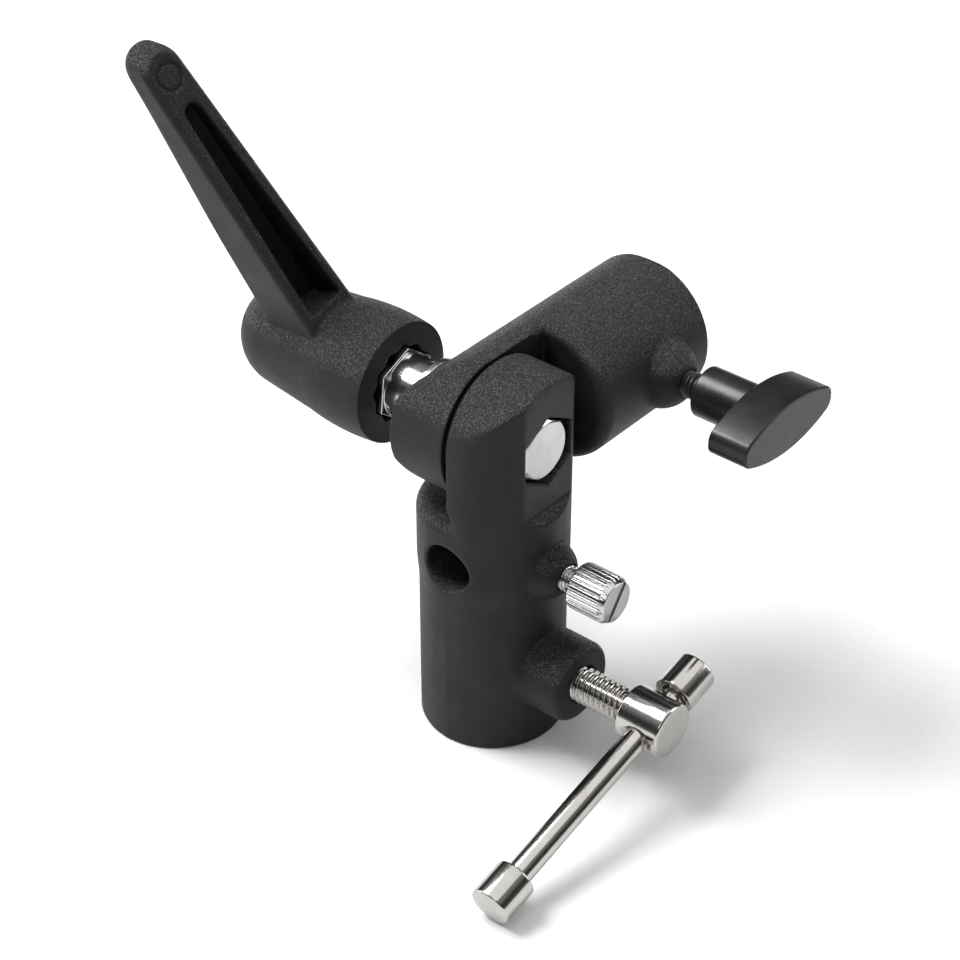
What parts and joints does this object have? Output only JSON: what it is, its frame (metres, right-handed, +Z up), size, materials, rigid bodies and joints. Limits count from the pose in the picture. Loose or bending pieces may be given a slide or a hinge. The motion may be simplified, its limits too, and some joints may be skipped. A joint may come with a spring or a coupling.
{
  "type": "umbrella swivel bracket",
  "caption": "Swivel bracket for studio lighting: a stand socket and a tilting stud socket clamped by a lever, with an umbrella shaft hole and clamp screws.",
  "frame": {"origin": "centre of the stand socket's mouth, on the bore axis", "axes": "+Z up the stand socket's bore, +Y out along the level arm socket, +X out along the pivot bolt and the clamp screws"},
  "size_m": [0.1248, 0.1069, 0.1429],
  "materials": {
    "cast_black": "textured powder coat over die-cast aluminium",
    "bright_zinc": "bright zinc plate on steel",
    "nickel": "polished nickel plate on steel",
    "black_knob": "smooth semi-gloss black",
    "black_thread": "black oxide steel",
    "spring_steel": "drawn spring wire",
    "brass_pad": "turned brass",
    "fibre": "pressed friction fibre"
  },
  "bodies": {
    "base": {"stand_socket": "cast_black", "pivot_bolt": "bright_zinc", "friction_disc": "fibre"},
    "arm": {"arm_socket": "cast_black"},
    "washer": {"arm_washer": "bright_zinc"},
    "nut": {"clamp_nut": "bright_zinc", "lever_screw": "bright_zinc", "spring_seat": "bright_zinc", "lever_spring": "spring_steel"},
    "lever": {"lever_handle": "cast_black"},
    "t_pad": {"t_screw_pad": "brass_pad"},
    "t_screw": {"t_screw": "nickel"},
    "t_bar": {"t_bar": "nickel", "t_bar_cap_upper": "nickel", "t_bar_cap_lower": "nickel"},
    "thumb_pad": {"thumb_screw_pad": "brass_pad"},
    "thumb": {"thumb_screw": "bright_zinc"},
    "wing_pad": {"wing_screw_pad": "brass_pad"},
    "wing": {"wing_knob": "black_knob", "wing_stud": "black_thread"}
  },
  "joints": [
    {"name": "arm_tilt", "type": "hinge", "parent": "base", "child": "arm", "pos_m": [0, 0, 0.0729], "axis": [1, 0, 0], "range_deg": [0, 180]},
    {"name": "clamp_feed", "type": "slide", "parent": "base", "child": "washer", "axis": [-1, 0, 0], "range_m": [0, 0.00126]},
    {"name": "lever_turn", "type": "hinge", "parent": "washer", "child": "nut", "pos_m": [0, 0, 0.0729], "axis": [-1, 0, 0], "range_deg": [0, 360]},
    {"name": "lever_pull", "type": "slide", "parent": "nut", "child": "lever", "axis": [-1, 0, 0], "range_m": [0, 0.0085], "stiffness_N_per_m": 900, "springref_m": -0.004, "deforming": ["lever_spring"]},
    {"name": "t_feed", "type": "slide", "parent": "base", "child": "t_pad", "axis": [1, 0, 0], "range_m": [-0.00424, 0.00142]},
    {"name": "t_turn", "type": "hinge", "parent": "t_pad", "child": "t_screw", "pos_m": [0, 0, 0.018], "axis": [1, 0, 0], "range_deg": [-1080, 360]},
    {"name": "t_bar_slide", "type": "slide", "parent": "t_screw", "child": "t_bar", "axis": [0, 0.969, 0.247], "range_m": [-0.0012, 0.0391]},
    {"name": "thumb_feed", "type": "slide", "parent": "base", "child": "thumb_pad", "axis": [1, 0, 0], "range_m": [-0.00201, 0.00201]},
    {"name": "thumb_turn", "type": "hinge", "parent": "thumb_pad", "child": "thumb", "pos_m": [0, 0, 0.0438], "axis": [1, 0, 0], "range_deg": [-720, 720]},
    {"name": "wing_feed", "type": "slide", "parent": "arm", "child": "wing_pad", "axis": [1, 0, 0], "range_m": [-0.00301, 0.00201]},
    {"name": "wing_turn", "type": "hinge", "parent": "wing_pad", "child": "wing", "pos_m": [0, 0.038, 0.0729], "axis": [1, 0, 0], "range_deg": [-1080, 720]}
  ],
  "couplings": [
    {"joint": "clamp_feed", "follows": "lever_turn", "m_per_rad": 0.00019894},
    {"joint": "t_feed", "follows": "t_turn", "m_per_rad": 0.00022457},
    {"joint": "thumb_feed", "follows": "thumb_turn", "m_per_rad": 0.00015915},
    {"joint": "wing_feed", "follows": "wing_turn", "m_per_rad": 0.00015915}
  ]
}
